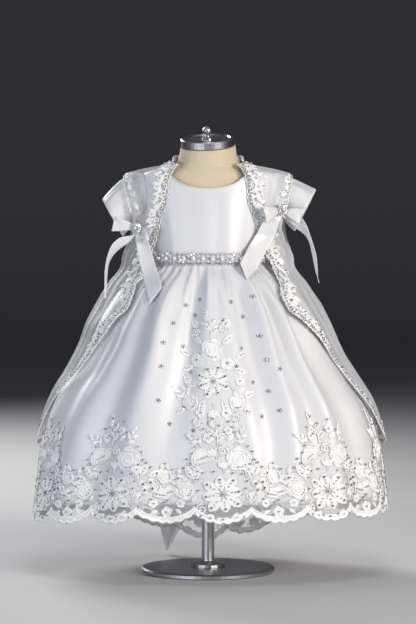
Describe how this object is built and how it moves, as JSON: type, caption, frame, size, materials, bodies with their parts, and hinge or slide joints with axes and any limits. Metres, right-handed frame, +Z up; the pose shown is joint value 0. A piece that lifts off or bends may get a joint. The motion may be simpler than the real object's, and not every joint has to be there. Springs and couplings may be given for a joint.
{
  "type": "christening gown on a dress form",
  "caption": "Infant christening gown of satin with a lace hem and a sheer organza cape with ribbon bows, on a limbless dress form with a round base.",
  "frame": {"origin": "centre of the round base's underside, on the floor", "axes": "+Z up, -Y towards the front of the gown, +X to the viewer's right when looking at its front"},
  "size_m": [0.5045, 0.4053, 0.6343],
  "materials": {
    "satin": "bridal satin, smooth with a soft sheen",
    "organza": "sheer, crisp",
    "lace": "corded embroidery on net, with small sequins",
    "ribbon": "satin ribbon",
    "beading": "pearls and clear stones",
    "linen": "plain weave, stretched",
    "steel": "brushed"
  },
  "bodies": {
    "root": {"back_button_1": "satin", "back_button_2": "satin", "back_button_3": "satin", "bodice_back_left": "satin", "bodice_back_right": "satin", "bodice_front": "satin", "bow_left_knot": "ribbon", "bow_left_loop_inner": "ribbon", "bow_left_loop_outer": "ribbon", "bow_left_tail_front": "ribbon", "bow_left_tail_outer": "ribbon", "bow_right_knot": "ribbon", "bow_right_loop_inner": "ribbon", "bow_right_loop_outer": "ribbon", "bow_right_tail_front": "ribbon", "bow_right_tail_outer": "ribbon", "brooch_left": "beading", "brooch_right": "beading", "cape_arm_lace_left": "lace", "cape_arm_lace_right": "lace", "cape_back": "organza", "cape_collar": "lace", "cape_edge_lace_left": "lace", "cape_edge_lace_right": "lace", "cape_front_left": "organza", "cape_front_right": "organza", "cape_hem_lace": "lace", "form_base": "steel", "form_finial": "steel", "form_neck_cap": "steel", "form_post": "steel", "form_torso": "linen", "hem_lace_back": "lace", "hem_lace_front": "lace", "sash_band": "satin", "sash_knot": "satin", "sash_loop_left": "satin", "sash_loop_right": "satin", "sash_tail_left": "satin", "sash_tail_right": "satin", "skirt_back": "satin", "skirt_front": "satin", "sleeve_left": "satin", "sleeve_right": "satin", "waist_trim": "beading"}
  },
  "joints": []
}
